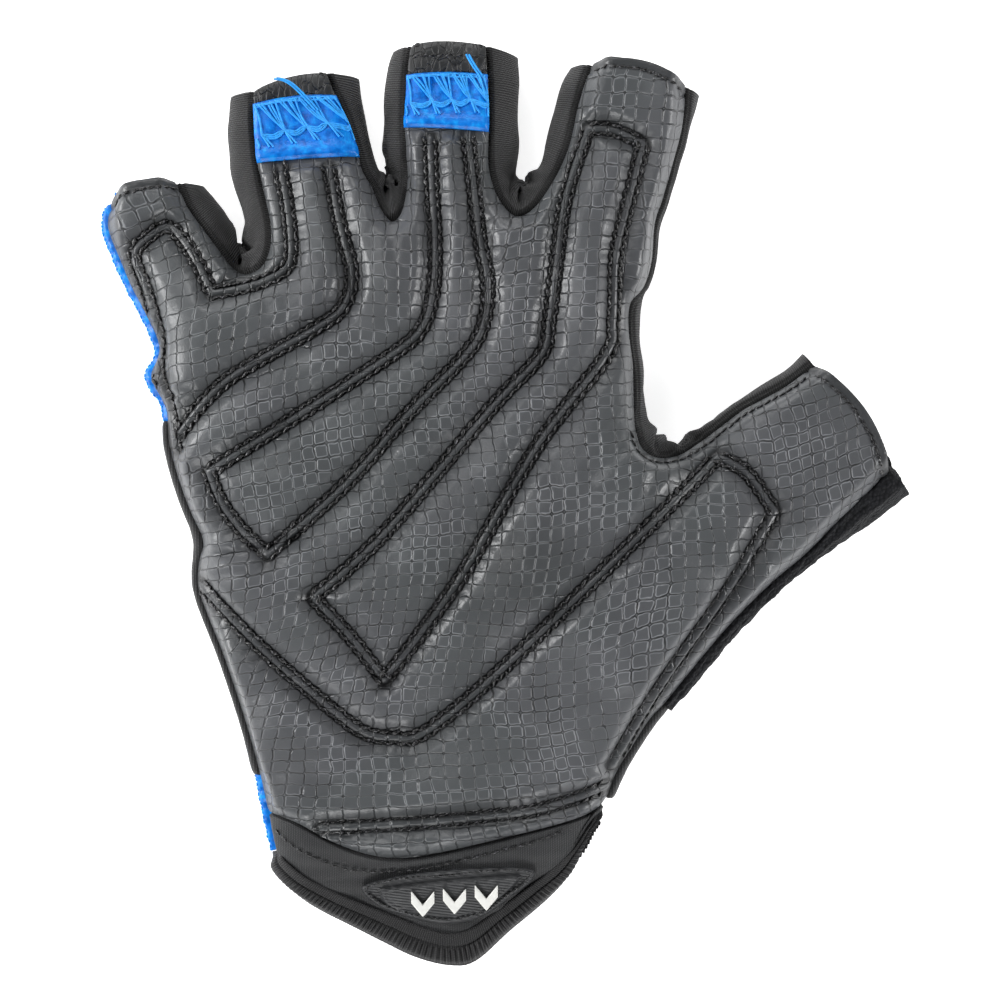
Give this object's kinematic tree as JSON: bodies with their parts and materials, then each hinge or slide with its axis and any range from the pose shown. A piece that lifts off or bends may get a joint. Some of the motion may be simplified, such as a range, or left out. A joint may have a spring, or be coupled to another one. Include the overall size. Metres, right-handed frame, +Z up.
{
  "type": "half-finger weightlifting glove",
  "caption": "Right-hand half-finger weightlifting glove lying palm up, with quilted leather palm, knitted finger strips, blue finger tabs and a bound stretch cuff.",
  "frame": {"origin": "on the surface that the glove lies on, under the middle of its outline", "axes": "+Y towards the open finger ends, +X towards the thumb, +Z up out of the palm"},
  "size_m": [0.1619, 0.1849, 0.0245],
  "materials": {
    "leather": "grey, embossed in small scales, soft sheen",
    "back_fabric": "plain black stretch fabric",
    "terry": "black terry",
    "knit": "black ribbed knit",
    "hem": "black folded hem, stitched",
    "blue_rubber": "blue, matt to satin, with blue thread",
    "cuff_fabric": "smooth black stretch fabric",
    "binding": "black ribbed elastic",
    "badge_rubber": "dark moulded rubber with fine lines",
    "badge_mark": "off-white moulded rubber"
  },
  "bodies": {
    "root": {"palm_panel": "leather", "back_panel": "back_fabric", "thumb_back": "terry", "little_ring_strip": "knit", "ring_middle_strip": "knit", "middle_index_strip": "knit", "index_thumb_strip": "knit", "little_side_trim": "blue_rubber", "wrist_side_trim": "blue_rubber", "ring_hem": "hem", "middle_hem": "hem", "ring_tab": "blue_rubber", "middle_tab": "blue_rubber", "cuff": "cuff_fabric", "cuff_binding": "binding", "badge": "badge_rubber", "badge_mark_1": "badge_mark", "badge_mark_2": "badge_mark", "badge_mark_3": "badge_mark"}
  },
  "joints": []
}
